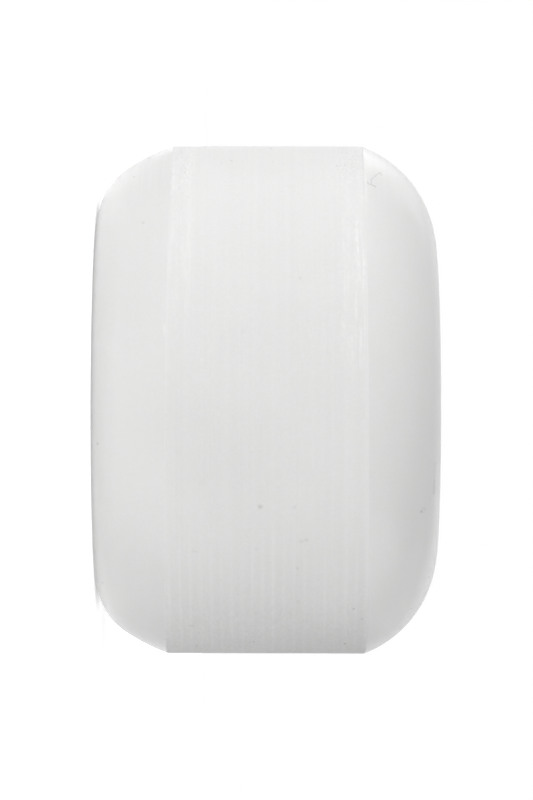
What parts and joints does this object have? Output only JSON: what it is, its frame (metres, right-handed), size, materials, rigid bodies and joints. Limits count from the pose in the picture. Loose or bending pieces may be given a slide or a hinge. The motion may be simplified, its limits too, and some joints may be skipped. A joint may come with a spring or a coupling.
{
  "type": "skateboard wheel",
  "caption": "Round one-piece white urethane skateboard wheel with a flat turned tread, rounded sides and a bearing seat sunk in each side.",
  "frame": {"origin": "centre of the wheel, on the axle line and midway between the flat rings of its two sides", "axes": "+Z along the axle, towards the rounder side; the wheel is round about Z, so X and Y are any two directions across it"},
  "size_m": [0.054, 0.054, 0.036],
  "materials": {
    "urethane": "white cast urethane, satin and faintly translucent, with fine turning lines across the tread"
  },
  "bodies": {
    "root": {"wheel": "urethane"}
  },
  "joints": []
}
